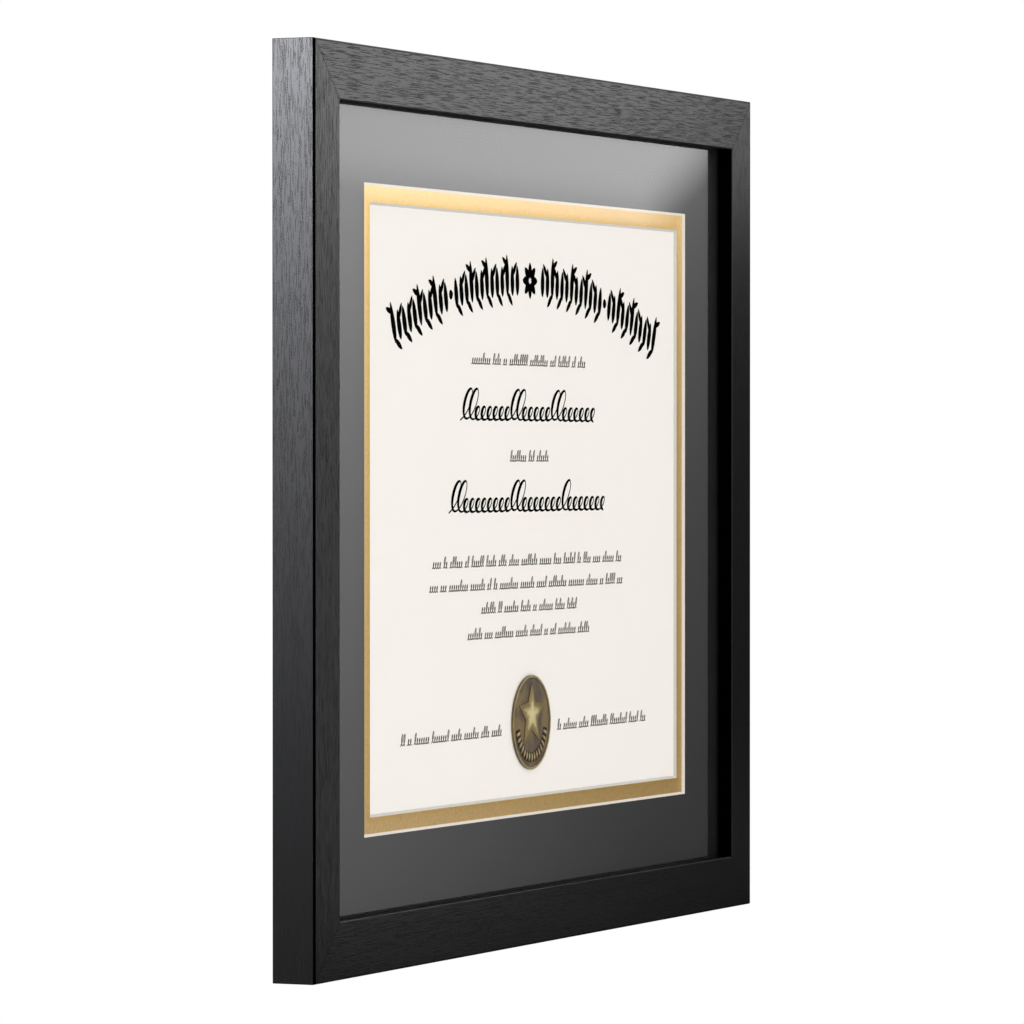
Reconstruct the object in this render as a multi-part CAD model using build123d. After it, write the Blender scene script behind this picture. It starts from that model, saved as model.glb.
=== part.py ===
from build123d import *
import os
from math import atan2, cos, degrees, pi, radians, sin, tan

# A wall-hung certificate frame, in millimetres: four mitred rails of plain square moulding
# hold glass, two bevelled mats, the sheet with its seal, a filler and a hardboard back.
# Turn buttons on the rear land keep the back in. X runs along the frame, Y from the front
# face towards the wall and Z up. Pieces are drawn about the middle of the front face, then
# moved so that the origin is the middle notch of the upper hanger, where the wall nail bears.

# The sheet and its mats
document_width = 279.4
document_height = 215.9
document_thickness = 0.25
document_overlap = 8.7
mat_extra_side = 38.1
mat_extra_top = 31.75
mat_thickness = 0.85
bevel_angle = 45.0
gold_reveal = 5.3

# The raised seal stuck on the sheet
seal_radius = 16.3
seal_margin = 8.55
seal_thickness = 0.5
seal_relief = 0.35
seal_rim_width = 1.3
seal_ring_radius = 11.2
seal_ring_width = 0.8
seal_bead_radius = 0.7
seal_bead_circle = 13.3
seal_bead_count = 32
seal_bead_sides = 6
seal_star_radius = 9.4
seal_star_valley = 4.6
seal_star_points = 8
seal_boss_radius = 3.0
seal_taper = 20.0

# The other layers in the rabbet
glass_thickness = 1.2
filler_thickness = 4.3
back_thickness = 2.5
back_recess = 0.05

# The moulding
face_width = 18.8
lip_width = 9.5
lip_depth = 5.0
rabbet_clearance = 0.8
outer_edge_radius = 0.8
sight_edge_radius = 0.6
rear_edge_radius = 0.4

# The V-nails that draw each mitre together, driven from behind
v_nail_leg = 5.0
v_nail_half_angle = 45.0
v_nail_sheet = 0.5
v_nail_depth = 7.0
v_nail_apex_inset = 7.2

# Turn buttons and their screws
button_reach = 17.0
button_head_radius = 4.2
button_tip_radius = 3.2
button_thickness = 1.2
button_rib_width = 2.2
button_rib_height = 0.5
button_rib_start = 5.2
button_rib_end = 15.6
button_rib_taper = 25.0
button_clearance = 0.05
button_corner_inset = 52.9
button_gaps = 3
screw_shank_radius = 1.45
screw_running_clearance = 0.05
screw_length = 9.5
screw_tip_length = 2.4
screw_tip_sides = 4
screw_head_radius = 2.8
screw_head_height = 1.6
screw_head_wall = 0.5
screw_recess_length = 3.2
screw_recess_width = 0.8
screw_recess_depth = 0.9

# Saw-tooth hangers and their nails
hanger_length = 44.0
hanger_width = 8.0
hanger_sheet = 0.8
hanger_raise = 1.3
hanger_foot_length = 7.9
hanger_ramp = 1.6
hanger_corner_radius = 2.0
tooth_pitch = 2.6
tooth_depth = 1.7
hanger_nail_inset = 4.2
nail_shank_radius = 0.8
nail_length = 10.0
nail_tip_length = 2.0
nail_tip_sides = 4
nail_head_radius = 1.7
nail_head_height = 0.6

# Wall bumpers
bumper_radius = 4.0
bumper_height = 3.4
bumper_corner_inset = 28.0

# How blunt the points of screws and nails are, as a share of the shank
point_flat_share = 0.15

# One overrun for every cut that has to pass right through
overrun = 1.0

# Depths, counted back from the front face
glass_front = lip_depth
outer_mat_front = glass_front + glass_thickness
inner_mat_front = outer_mat_front + mat_thickness
document_front = inner_mat_front + mat_thickness
filler_front = document_front + document_thickness
back_front = filler_front + filler_thickness
frame_depth = back_front + back_thickness + back_recess

# Widths and heights that the layers share
layer_width = document_width + 2 * mat_extra_side
layer_height = document_height + 2 * mat_extra_top
outer_wall = face_width - lip_width
outer_width = layer_width + 2 * rabbet_clearance + 2 * outer_wall
outer_height = layer_height + 2 * rabbet_clearance + 2 * outer_wall
land_middle = outer_wall / 2
button_pitch = (outer_width - 2 * button_corner_inset) / button_gaps

# Mat windows at the back of each bevel, where the opening is smallest
bevel_run = mat_thickness * tan(radians(bevel_angle))
inner_window_width = document_width - 2 * document_overlap
inner_window_height = document_height - 2 * document_overlap
outer_window_width = inner_window_width + 2 * (bevel_run + gold_reveal)
outer_window_height = inner_window_height + 2 * (bevel_run + gold_reveal)

# The origin: the middle notch of the upper hanger, half way through its sheet
hang_height = outer_height / 2 - land_middle - hanger_width / 2 + tooth_depth
hang_depth = frame_depth + hanger_raise + hanger_sheet / 2
to_origin = Location((0, -hang_depth, -hang_height))


def front_plane(depth, x=0, z=0):
    """A drawing plane facing the viewer's way, with X to the right and Z up."""
    return Plane(origin=(x, depth, z), x_dir=(1, 0, 0), z_dir=(0, -1, 0))


def wall_plane(depth, x, z, towards):
    """A plane whose normal points at the wall and whose X points the given way."""
    return Plane(origin=(x, depth, z), x_dir=towards, z_dir=(0, 1, 0))


def slab(width, height, front, thickness):
    """A flat layer of the stack, centred on the frame."""
    return extrude(front_plane(front) * Rectangle(width, height), -thickness)


def moulding_section():
    """The L-shaped section: X across the face from the outer side, Y into the depth."""
    corners = [
        (0, 0),
        (face_width, 0),
        (face_width, lip_depth),
        (outer_wall, lip_depth),
        (outer_wall, frame_depth),
        (0, frame_depth),
    ]
    section = make_face(Polyline(*corners, close=True))
    for place, radius in (
        ((0, 0), outer_edge_radius),
        ((face_width, 0), sight_edge_radius),
        ((0, frame_depth), rear_edge_radius),
    ):
        arris = section.vertices().sort_by_distance((*place, 0))[0]
        section = fillet(arris, radius)
    return section


def mitred_rail(length):
    """A rail along X with its outer side at Z = 0, cut at 45 degrees at both ends."""
    end = Plane(origin=(length / 2, 0, 0), x_dir=(0, 0, 1), z_dir=(-1, 0, 0))
    bar = extrude(end * moulding_section(), length)
    inner = face_width + overrun
    half = length / 2
    mitre = Polyline(
        (-half - overrun, -overrun),
        (half + overrun, -overrun),
        (half - inner, inner),
        (inner - half, inner),
        close=True,
    )
    block = extrude(front_plane(-overrun) * make_face(mitre), -(frame_depth + 2 * overrun))
    return bar & block


def v_nails():
    """One V-nail in each corner, its apex on the mitre line and pointing inwards."""
    half_angle = radians(v_nail_half_angle)
    along, across = cos(half_angle), sin(half_angle)
    tip = (-v_nail_leg * along, v_nail_leg * across)
    inner_tip = (tip[0] - v_nail_sheet * across, tip[1] - v_nail_sheet * along)
    chevron = make_face(
        Polyline(
            (0, 0),
            tip,
            inner_tip,
            (-v_nail_sheet / across, 0),
            (inner_tip[0], -inner_tip[1]),
            (tip[0], -tip[1]),
            close=True,
        )
    )
    nails = []
    for side in (-1, 1):
        for end in (-1, 1):
            corner = (outer_width / 2 - v_nail_apex_inset, outer_height / 2 - v_nail_apex_inset)
            place = wall_plane(frame_depth, side * corner[0], end * corner[1], (-side, 0, -end))
            nails.append(extrude(place * chevron, -v_nail_depth))
    return nails


def mat(window_width, window_height, front):
    """A mat board whose window is cut with a bevel that widens towards the viewer."""
    board = slab(layer_width, layer_height, front, mat_thickness)
    wide = Rectangle(window_width + 2 * bevel_run, window_height + 2 * bevel_run)
    narrow = Rectangle(window_width, window_height)
    window = loft([front_plane(front) * wide, front_plane(front + mat_thickness) * narrow])
    return board - window


def seal():
    """A struck disc with a raised rim, a ring of beads, a plain ring and an eight-pointed star."""
    body = extrude(Circle(seal_radius), seal_thickness)
    field = Pos(0, 0, seal_thickness)
    for radius, width in ((seal_radius, seal_rim_width), (seal_ring_radius, seal_ring_width)):
        body += field * extrude(Circle(radius) - Circle(radius - width), seal_relief)
    bead = extrude(RegularPolygon(seal_bead_radius, seal_bead_sides), seal_relief, taper=seal_taper)
    body += [field * place * bead for place in PolarLocations(seal_bead_circle, seal_bead_count)]
    points = []
    for step in range(2 * seal_star_points):
        reach = seal_star_valley if step % 2 else seal_star_radius
        turn = pi * step / seal_star_points
        points.append((reach * cos(turn), reach * sin(turn)))
    body += field * extrude(make_face(Polyline(*points, close=True)), seal_relief)
    boss = extrude(RegularPolygon(seal_boss_radius, seal_star_points), seal_relief, taper=seal_taper)
    body += Pos(0, 0, seal_thickness + seal_relief) * boss
    height = seal_margin + seal_radius - inner_window_height / 2
    return front_plane(document_front, 0, height) * body


def turn_button():
    """A stamped button lying on XY, its screw hole at the origin and its tip along +X."""
    head = Circle(button_head_radius)
    tip = Pos(button_reach - button_tip_radius) * Circle(button_tip_radius)
    plate = extrude(make_hull(head.edges() + tip.edges()), button_thickness)
    half = button_rib_width / 2
    outline = Polyline(
        (button_rib_start, 0),
        (button_rib_start + half, -half),
        (button_rib_end - half, -half),
        (button_rib_end, 0),
        (button_rib_end - half, half),
        (button_rib_start + half, half),
        close=True,
    )
    rib = Pos(0, 0, button_thickness) * extrude(
        make_face(outline), button_rib_height, taper=button_rib_taper
    )
    hole = Cylinder(screw_shank_radius + screw_running_clearance, 2 * (button_thickness + overrun))
    return plate + rib - hole


def shank(radius, length, tip_length, sides):
    """A round shank below XY that ends in a faceted point."""
    straight = extrude(Circle(radius), tip_length - length)
    flat_to_middle = radius * cos(pi / sides) * (1 - point_flat_share)
    point = extrude(
        RegularPolygon(radius, sides), -tip_length, taper=degrees(atan2(flat_to_middle, tip_length))
    )
    return straight + Pos(0, 0, tip_length - length) * point


def screw():
    """A pan-head screw along Z, its head seated at Z = 0 and its shank below."""
    head = extrude(Circle(screw_head_radius), screw_head_height)
    crown = head.faces().sort_by(Axis.Z)[-1].edges()
    head = chamfer(crown, screw_head_height - screw_head_wall)
    body = head + shank(screw_shank_radius, screw_length, screw_tip_length, screw_tip_sides)
    bar = Box(screw_recess_length, screw_recess_width, 2 * screw_recess_depth)
    return body - Pos(0, 0, screw_head_height) * (bar + Rot(0, 0, 90) * bar)


def hanger():
    """A saw-tooth strip along X, lying on XY with its toothed edge towards -Y."""
    foot = hanger_length / 2
    raised = foot - hanger_foot_length - hanger_ramp
    under = [
        (-foot, 0),
        (-raised - hanger_ramp, 0),
        (-raised, hanger_raise),
        (raised, hanger_raise),
        (raised + hanger_ramp, 0),
        (foot, 0),
    ]
    over = [(x, y + hanger_sheet) for x, y in reversed(under)]
    joggle = make_face(Polyline(*under, *over, close=True))
    strip = extrude(Plane.XZ * joggle, hanger_width / 2, both=True)
    outline = RectangleRounded(hanger_length, hanger_width, hanger_corner_radius)
    strip = strip & extrude(outline, hanger_raise + hanger_sheet + overrun)
    half = tooth_pitch / 2
    widen = half * overrun / tooth_depth
    notch = make_face(
        Polyline((-half - widen, -overrun), (0, tooth_depth), (half + widen, -overrun), close=True)
    )
    tooth_gap = extrude(notch, hanger_raise + hanger_sheet + overrun)
    each_side = int((raised - tooth_pitch) / tooth_pitch)
    for step in range(-each_side, each_side + 1):
        strip -= Pos(step * tooth_pitch, -hanger_width / 2) * tooth_gap
    for x in (hanger_nail_inset - foot, foot - hanger_nail_inset):
        strip -= Pos(x) * Cylinder(nail_shank_radius, 2 * (hanger_sheet + overrun))
    return strip


def nail():
    """A flat-headed nail along Z, its head seated at Z = 0 and its shank below."""
    head = extrude(Circle(nail_head_radius), nail_head_height)
    return head + shank(nail_shank_radius, nail_length, nail_tip_length, nail_tip_sides)


def bumper():
    """A round rubber pad standing on XY."""
    return extrude(Circle(bumper_radius), bumper_height)


def button_places():
    """Name, x, z and pointing direction of each turn button, four on each long rail."""
    z_land = outer_height / 2 - land_middle
    places = []
    for pitches, place in ((-1.5, "outer_left"), (-0.5, "inner_left"), (0.5, "inner_right"), (1.5, "outer_right")):
        x = pitches * button_pitch
        places.append((f"turn_button_top_{place}", x, z_land, (0, 0, -1)))
        places.append((f"turn_button_bottom_{place}", x, -z_land, (0, 0, 1)))
    return places


def hanger_places():
    """Name, x, z and direction of length of the hangers, with teeth towards the far rail."""
    return (
        ("top_sawtooth_hanger", 0, outer_height / 2 - land_middle, (-1, 0, 0)),
        ("side_sawtooth_hanger", outer_width / 2 - land_middle, 0, (0, 0, 1)),
    )


def build():
    """Every piece, by the name of its node."""
    pieces = {
        "glass": slab(layer_width, layer_height, glass_front, glass_thickness),
        "outer_mat": mat(outer_window_width, outer_window_height, outer_mat_front),
        "inner_mat": mat(inner_window_width, inner_window_height, inner_mat_front),
        "certificate": slab(document_width, document_height, document_front, document_thickness),
        "certificate_seal": seal(),
        "filler_board": slab(layer_width, layer_height, filler_front, filler_thickness),
        "back_board": slab(layer_width, layer_height, back_front, back_thickness),
    }

    button_depth = frame_depth + button_clearance
    screw_depth = button_depth + button_thickness + button_clearance
    screws = []
    for name, x, z, towards in button_places():
        pieces[name] = wall_plane(button_depth, x, z, towards) * turn_button()
        screws.append(wall_plane(screw_depth, x, z, towards) * screw())

    nails = []
    for name, x, z, along in hanger_places():
        pieces[name] = wall_plane(frame_depth, x, z, along) * hanger()
        reach = hanger_length / 2 - hanger_nail_inset
        seat = wall_plane(frame_depth + hanger_sheet, x, z, along)
        nails += [seat * Pos(-reach) * nail(), seat * Pos(reach) * nail()]

    bumper_height_line = land_middle - outer_height / 2
    for name, side in (("wall_bumper_left", -1), ("wall_bumper_right", 1)):
        x = side * (outer_width / 2 - bumper_corner_inset)
        pieces[name] = wall_plane(frame_depth, x, bumper_height_line, (1, 0, 0)) * bumper()

    driven = v_nails()
    pieces["turn_button_screws"] = Compound(children=screws)
    pieces["hanger_nails"] = Compound(children=nails)
    pieces["corner_v_nails"] = Compound(children=driven)

    long_rail = mitred_rail(outer_width)
    short_rail = mitred_rail(outer_height)
    rails = {
        "bottom_rail": Pos(0, 0, -outer_height / 2) * long_rail,
        "top_rail": Pos(0, 0, outer_height / 2) * Rot(0, 180, 0) * long_rail,
        "left_stile": Pos(-outer_width / 2) * Rot(0, 90, 0) * short_rail,
        "right_stile": Pos(outer_width / 2) * Rot(0, -90, 0) * short_rail,
    }
    for name, rail in rails.items():
        reach = rail.bounding_box()
        for fixing in (*screws, *nails, *driven):
            box = fixing.bounding_box()
            clear_x = box.min.X > reach.max.X or box.max.X < reach.min.X
            clear_z = box.min.Z > reach.max.Z or box.max.Z < reach.min.Z
            if not (clear_x or clear_z):
                rail = rail - fixing
        pieces[name] = rail
    return pieces


os.makedirs("parts", exist_ok=True)
for name, shape in build().items():
    export_step(shape.moved(to_origin), f"parts/{name}.step")

print("origin above the bottom edge", round(hang_height + outer_height / 2, 3))
print("origin behind the front face", round(hang_depth, 3))
print("outer", round(outer_width, 3), round(outer_height, 3), round(frame_depth, 3))
for name, x, z, _ in button_places():
    print("hinge", name, round(x, 3), round(frame_depth - hang_depth, 3), round(z - hang_height, 3))
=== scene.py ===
"""The looks of a wall-hung certificate frame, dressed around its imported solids.

The rails, glass, mats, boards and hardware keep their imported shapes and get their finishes
here. The print on the sheet and the struck seal are modelled here. Every size is in metres,
in the frame's own axes: X along the long rails, Y from the front face to the wall, Z up.
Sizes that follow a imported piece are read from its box.
"""

import logging
import math
import random
from dataclasses import dataclass, field, replace
from enum import Enum

import bmesh
import bpy
from mathutils import Matrix, Vector


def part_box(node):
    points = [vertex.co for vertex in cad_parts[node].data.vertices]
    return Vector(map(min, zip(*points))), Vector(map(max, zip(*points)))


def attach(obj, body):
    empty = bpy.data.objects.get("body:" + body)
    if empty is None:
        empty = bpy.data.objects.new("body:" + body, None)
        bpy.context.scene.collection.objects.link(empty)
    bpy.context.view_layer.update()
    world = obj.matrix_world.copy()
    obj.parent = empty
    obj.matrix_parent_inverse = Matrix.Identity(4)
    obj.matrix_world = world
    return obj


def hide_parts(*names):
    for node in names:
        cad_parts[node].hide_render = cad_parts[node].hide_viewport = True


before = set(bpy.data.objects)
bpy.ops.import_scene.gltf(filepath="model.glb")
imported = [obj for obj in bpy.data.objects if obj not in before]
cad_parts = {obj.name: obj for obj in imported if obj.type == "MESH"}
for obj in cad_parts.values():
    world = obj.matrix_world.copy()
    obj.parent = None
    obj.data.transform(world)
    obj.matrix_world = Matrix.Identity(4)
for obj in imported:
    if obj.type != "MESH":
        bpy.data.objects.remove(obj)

LOG = logging.getLogger("certificate_frame")
MM = 0.001
ROOT_BODY = "frame"
ROW_SEED = 11

Colour = tuple[float, float, float]
Size = tuple[float, float, float]
Limits = tuple[float, float]
Outline = tuple[tuple[float, float], ...]
BMesh = bmesh.types.BMesh
Material = bpy.types.Material
Socket = bpy.types.NodeSocket

WHITE: Colour = (1.0, 1.0, 1.0)
MOTTLE_LIMITS: Limits = (0.35, 0.65)
# How far the inner mat covers the sheet on each side
SHEET_OVERLAP = 8.7 * MM


class Run(Enum):
    """The way that a rail's grain runs."""

    ACROSS = "x"
    UPRIGHT = "z"


class Graph:
    """A shader's node tree while it is being put together."""

    def __init__(self, tree: bpy.types.NodeTree, output: str) -> None:
        """Empties the tree down to its output.

        Args:
            tree: The tree.
            output: The type name of its output node.
        """
        self.tree = tree
        self.tree.nodes.clear()
        self.out = self.tree.nodes.new(output)

    def node(self, kind: str, inputs: dict[str | int, object], **settings: object) -> bpy.types.Node:
        """Adds a node.

        Args:
            kind: The node's type name.
            inputs: What each input takes: a socket to link or a constant.
            **settings: The node's own properties.

        Returns:
            The new node.
        """
        node = self.tree.nodes.new(kind)
        for key, value in settings.items():
            setattr(node, key, value)
        for key, value in inputs.items():
            self.feed(node.inputs[key], value)
        return node

    def feed(self, socket: Socket, value: object) -> None:
        """Links a socket to another, or sets its constant."""
        if isinstance(value, Socket):
            self.tree.links.new(value, socket)
        elif isinstance(value, tuple) and socket.type == "RGBA":
            socket.default_value = (*value[:3], 1.0)
        else:
            socket.default_value = value

    def calc(self, operation: str, first: object, second: object = 0.0, third: float = 0.0) -> Socket:
        """One step of arithmetic on numbers."""
        return self.node("ShaderNodeMath", {0: first, 1: second, 2: third}, operation=operation).outputs[0]

    def ramp(self, value: Socket, start: float, end: float, low: float = 0.0, high: float = 1.0) -> Socket:
        """A clamped, eased step from low to high as the value goes from start to end."""
        inputs = {"Value": value, "From Min": start, "From Max": end, "To Min": low, "To Max": high}
        return self.node("ShaderNodeMapRange", inputs, interpolation_type="SMOOTHSTEP").outputs[0]

    def mix(self, factor: object, first: object, second: object) -> Socket:
        """A number between two numbers."""
        return self.node("ShaderNodeMix", {0: factor, 2: first, 3: second}, data_type="FLOAT").outputs[0]

    def close(self, shader: bpy.types.Node) -> None:
        """Links the last node to the output's surface."""
        self.tree.links.new(shader.outputs[0], self.out.inputs["Surface"])


class Recipe(Graph):
    """A material, with textures that lie in its object's own space."""

    def __init__(self, name: str) -> None:
        """Starts an empty material.

        Args:
            name: The material's name.
        """
        self.material = bpy.data.materials.new(name)
        self.material.use_nodes = True
        super().__init__(self.material.node_tree, "ShaderNodeOutputMaterial")
        self.place = self.node("ShaderNodeTexCoord", {}).outputs["Object"]

    def axes(self) -> tuple[Socket, ...]:
        """The object's X, Y and Z as three numbers."""
        return tuple(self.node("ShaderNodeSeparateXYZ", {0: self.place}).outputs)

    def stretch(self, cell: Size, offset: float = 0.0) -> Socket:
        """Coordinates counted in cells and then moved by the offset, also in cells."""
        scale = Vector([1 / length for length in cell])
        inputs = {"Vector": self.place, "Location": Vector((offset,) * 3), "Scale": scale}
        return self.node("ShaderNodeMapping", inputs, vector_type="POINT").outputs[0]

    def noise(self, cell: Size, detail: float, offset: float = 0.0) -> Socket:
        """Soft noise whose blobs are about the size of a cell."""
        inputs = {"Vector": self.stretch(cell, offset), "Scale": 1.0, "Detail": detail}
        return self.node("ShaderNodeTexNoise", inputs).outputs["Fac"]

    def blend(self, factor: object, first: object, second: object) -> Socket:
        """A colour between two colours."""
        node = self.node("ShaderNodeMix", {}, data_type="RGBA")
        self.feed(node.inputs["Factor"], factor)
        colours = [socket for socket in node.inputs if socket.type == "RGBA"]
        self.feed(colours[0], first)
        self.feed(colours[1], second)
        return next(socket for socket in node.outputs if socket.type == "RGBA")

    def bump(self, height: Socket, depth: float) -> Socket:
        """A normal bent by a height between 0 and 1 that stands for a real depth."""
        return self.node("ShaderNodeBump", {"Height": height, "Distance": depth}).outputs[0]

    def surface(self, **inputs: object) -> Material:
        """Closes the material with a principled surface.

        Args:
            **inputs: The shader's inputs, with an underscore for each space.

        Returns:
            The finished material.
        """
        named = {key.replace("_", " "): value for key, value in inputs.items()}
        self.close(self.node("ShaderNodeBsdfPrincipled", named))
        return self.material


@dataclass(frozen=True)
class Layout:
    """Where the frame's main faces lie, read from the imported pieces."""

    half_width: float
    half_height: float
    middle_z: float
    front: float
    face_width: float
    sheet_front: float
    outer_mat_front: float
    inner_mat_front: float
    window_half_width: float
    window_half_height: float

    @classmethod
    def read(cls) -> "Layout":
        """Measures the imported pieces."""
        low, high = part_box("top_rail")
        floor_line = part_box("bottom_rail")[0].z
        sheet_low, sheet_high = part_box("certificate")
        return cls(
            half_width=high.x,
            half_height=(high.z - floor_line) / 2,
            middle_z=(high.z + floor_line) / 2,
            front=low.y,
            face_width=high.z - low.z,
            sheet_front=sheet_low.y,
            outer_mat_front=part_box("outer_mat")[0].y,
            inner_mat_front=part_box("inner_mat")[0].y,
            window_half_width=sheet_high.x - SHEET_OVERLAP,
            window_half_height=(sheet_high.z - sheet_low.z) / 2 - SHEET_OVERLAP,
        )


def put_in_scene(piece: BMesh, name: str, material: Material) -> bpy.types.Object:
    """Turns a bmesh into an object at the origin.

    Args:
        piece: The mesh, already in its place. It is freed.
        name: The object's name.
        material: Its finish.

    Returns:
        The new object.
    """
    mesh = bpy.data.meshes.new(name)
    piece.to_mesh(mesh)
    piece.free()
    mesh.materials.append(material)
    made = bpy.data.objects.new(name, mesh)
    bpy.context.scene.collection.objects.link(made)
    return made


def dress(node: str, material: Material) -> None:
    """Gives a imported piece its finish."""
    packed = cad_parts[node]
    packed.data.materials.clear()
    packed.data.materials.append(material)
    LOG.info("dressed %s", node)


@dataclass(frozen=True)
class StainedWood:
    """Black-stained open-grained wood under a thin satin lacquer."""

    stain: Colour = (0.0025, 0.0025, 0.0028)
    # Colour of the pores, also used for the painted shade on the arris and lip
    pore_and_painted_shade_colour: Colour = (0.0008, 0.0008, 0.0008)
    ior: float = 1.365
    roughness: float = 0.3
    pore_roughness: float = 0.45
    pore_length_upright: float = 6.5 * MM
    pore_length_across: float = 12 * MM
    pore_width: float = 0.23 * MM
    pore_depth: float = 0.06 * MM
    pore_strength: float = 0.4
    pore_limits: Limits = (0.55, 0.64)
    band_length: float = 70 * MM
    band_width: float = 5 * MM
    crowding: float = 0.015
    crowding_limits: Limits = (0.3, 0.7)
    tone_share: float = 0.5
    tone_limits: Limits = (0.25, 0.75)
    fibre_length: float = 14 * MM
    fibre_width: float = 0.38 * MM
    fibre_rise: float = 0.5
    # The seam sizes set the mitre hairline; the arris and lip sizes set where shade is painted on the wood
    seam_half: float = 0.16 * MM
    seam_core_share: float = 0.3
    arris: float = 0.75 * MM
    arris_core_share: float = 0.9
    lip_insets: Limits = (0.1 * MM, 0.03 * MM)

    def material(self, name: str, run: Run, seed: float, layout: Layout) -> Material:
        """Makes the finish of one rail.

        Args:
            name: The material's name.
            run: The way that the grain runs.
            seed: How far the pattern is moved, so that no two rails match.
            layout: Where the mitres lie.

        Returns:
            The material.
        """
        recipe = Recipe(name)

        def cell(along: float, across: float) -> Size:
            """A cell with its length along the grain."""
            return (along, across, across) if run is Run.ACROSS else (across, across, along)

        pore_length = self.pore_length_across if run is Run.ACROSS else self.pore_length_upright
        bands = recipe.noise(cell(self.band_length, self.band_width), detail=1.0, offset=seed)
        speck = recipe.noise(cell(pore_length, self.pore_width), detail=1.5, offset=seed)
        fibre = recipe.noise(cell(self.fibre_length, self.fibre_width), detail=2.0, offset=seed)
        crowded = recipe.ramp(bands, *self.crowding_limits, -self.crowding, self.crowding)
        pores = recipe.ramp(recipe.calc("ADD", speck, crowded), *self.pore_limits)
        seams_and_painted_shade = self.seams_and_painted_shade(recipe, layout)
        # Pores, mitre seams and the painted shade on the arris and lip all darken the wood
        dark = recipe.calc("MAXIMUM", recipe.calc("MULTIPLY", pores, self.pore_strength), seams_and_painted_shade)
        deeper = recipe.ramp(bands, *self.tone_limits, 0.0, self.tone_share)
        tone = recipe.blend(deeper, self.stain, self.pore_and_painted_shade_colour)
        rise = recipe.calc("SUBTRACT", recipe.calc("MULTIPLY", fibre, self.fibre_rise), dark)
        rough = recipe.calc("MULTIPLY_ADD", dark, self.pore_roughness, self.roughness)
        # Metallic with the near-black colour also takes the sheen off the seams and the painted shade
        return recipe.surface(
            Base_Color=recipe.blend(dark, tone, self.pore_and_painted_shade_colour),
            Roughness=rough,
            Metallic=seams_and_painted_shade,
            IOR=self.ior,
            Normal=recipe.bump(rise, self.pore_depth),
        )

    def seams_and_painted_shade(self, recipe: Recipe, layout: Layout) -> Socket:
        """1 where the wood is turned near-black with no sheen, and 0 elsewhere.

        That is the dark hairline of each mitre joint, plus painted shade on the eased outer arris of the
        front and inside the lip.
        """
        x, y, z = recipe.axes()
        inset_x = recipe.calc("SUBTRACT", layout.half_width, recipe.calc("ABSOLUTE", x))
        level = recipe.calc("ABSOLUTE", recipe.calc("SUBTRACT", z, layout.middle_z))
        inset_z = recipe.calc("SUBTRACT", layout.half_height, level)
        off_line = recipe.calc("ABSOLUTE", recipe.calc("SUBTRACT", inset_x, inset_z))
        seam = recipe.ramp(off_line, self.seam_core_share * self.seam_half, self.seam_half, 1.0, 0.0)
        core = self.arris_core_share * self.arris
        # Painted shade on the eased outer arris of the front, along the left and right sides
        near_front = recipe.ramp(y, layout.front + core, layout.front + self.arris, 1.0, 0.0)
        near_side = recipe.ramp(inset_x, core, self.arris, 1.0, 0.0)
        outer = recipe.calc("MULTIPLY", near_front, near_side)
        # Painted shade inside the lip, where the recess lies in shade
        lip_start, lip_end = (layout.face_width - inset for inset in self.lip_insets)
        lip = recipe.ramp(recipe.calc("MINIMUM", inset_x, inset_z), lip_start, lip_end)
        return recipe.calc("MAXIMUM", seam, recipe.calc("MAXIMUM", outer, lip))


@dataclass(frozen=True)
class MatBoard:
    """Faced mat board: a thin coloured face on a pale core, which shows where it is cut."""

    face: Colour
    core: Colour
    roughness: float
    metallic: float
    mottle: float
    shine: float = 0.5
    face_depth: float = 0.05 * MM
    mottle_cell: float = 0.9 * MM
    core_roughness: float = 0.75
    tooth: float = 0.35 * MM
    tooth_depth: float = 0.002 * MM

    def material(self, name: str, front: float) -> Material:
        """Makes the finish of a board whose face lies at the depth front."""
        recipe = Recipe(name)
        _, y, _ = recipe.axes()
        cut = recipe.ramp(y, front + self.face_depth / 2, front + self.face_depth)
        grain = recipe.noise((self.tooth,) * 3, detail=3.0)
        cloud = recipe.noise((self.mottle_cell,) * 3, detail=3.0)
        lighter = tuple(min(1.0, (1 + self.mottle) * part) for part in self.face)
        darker = tuple((1 - self.mottle) * part for part in self.face)
        face = recipe.blend(recipe.ramp(cloud, *MOTTLE_LIMITS), darker, lighter)
        rough = recipe.calc("MULTIPLY_ADD", cut, self.core_roughness - self.roughness, self.roughness)
        metal = recipe.calc("MULTIPLY_ADD", cut, -self.metallic, self.metallic)
        return recipe.surface(
            Base_Color=recipe.blend(cut, face, self.core),
            Roughness=rough,
            Metallic=metal,
            Specular_IOR_Level=self.shine,
            Normal=recipe.bump(grain, self.tooth_depth),
        )


@dataclass(frozen=True)
class ClearPane:
    """Clear picture glass."""

    tint: Colour = (0.992, 0.993, 0.991)
    ior: float = 1.52
    polish: float = 0.03

    def material(self) -> Material:
        """Makes the glass."""
        recipe = Recipe("picture_glass")
        mirrored = recipe.node("ShaderNodeFresnel", {"IOR": self.ior}).outputs[0]
        inside = recipe.node("ShaderNodeNewGeometry", {}).outputs["Backfacing"]
        sheen = recipe.calc("MULTIPLY", mirrored, recipe.calc("SUBTRACT", 1.0, inside))
        clear = recipe.node("ShaderNodeBsdfTransparent", {"Color": self.tint}).outputs[0]
        gloss = recipe.node("ShaderNodeBsdfGlossy", {"Color": WHITE, "Roughness": self.polish}).outputs[0]
        recipe.close(recipe.node("ShaderNodeMixShader", {0: sheen, 1: clear, 2: gloss}))
        return recipe.material


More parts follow.
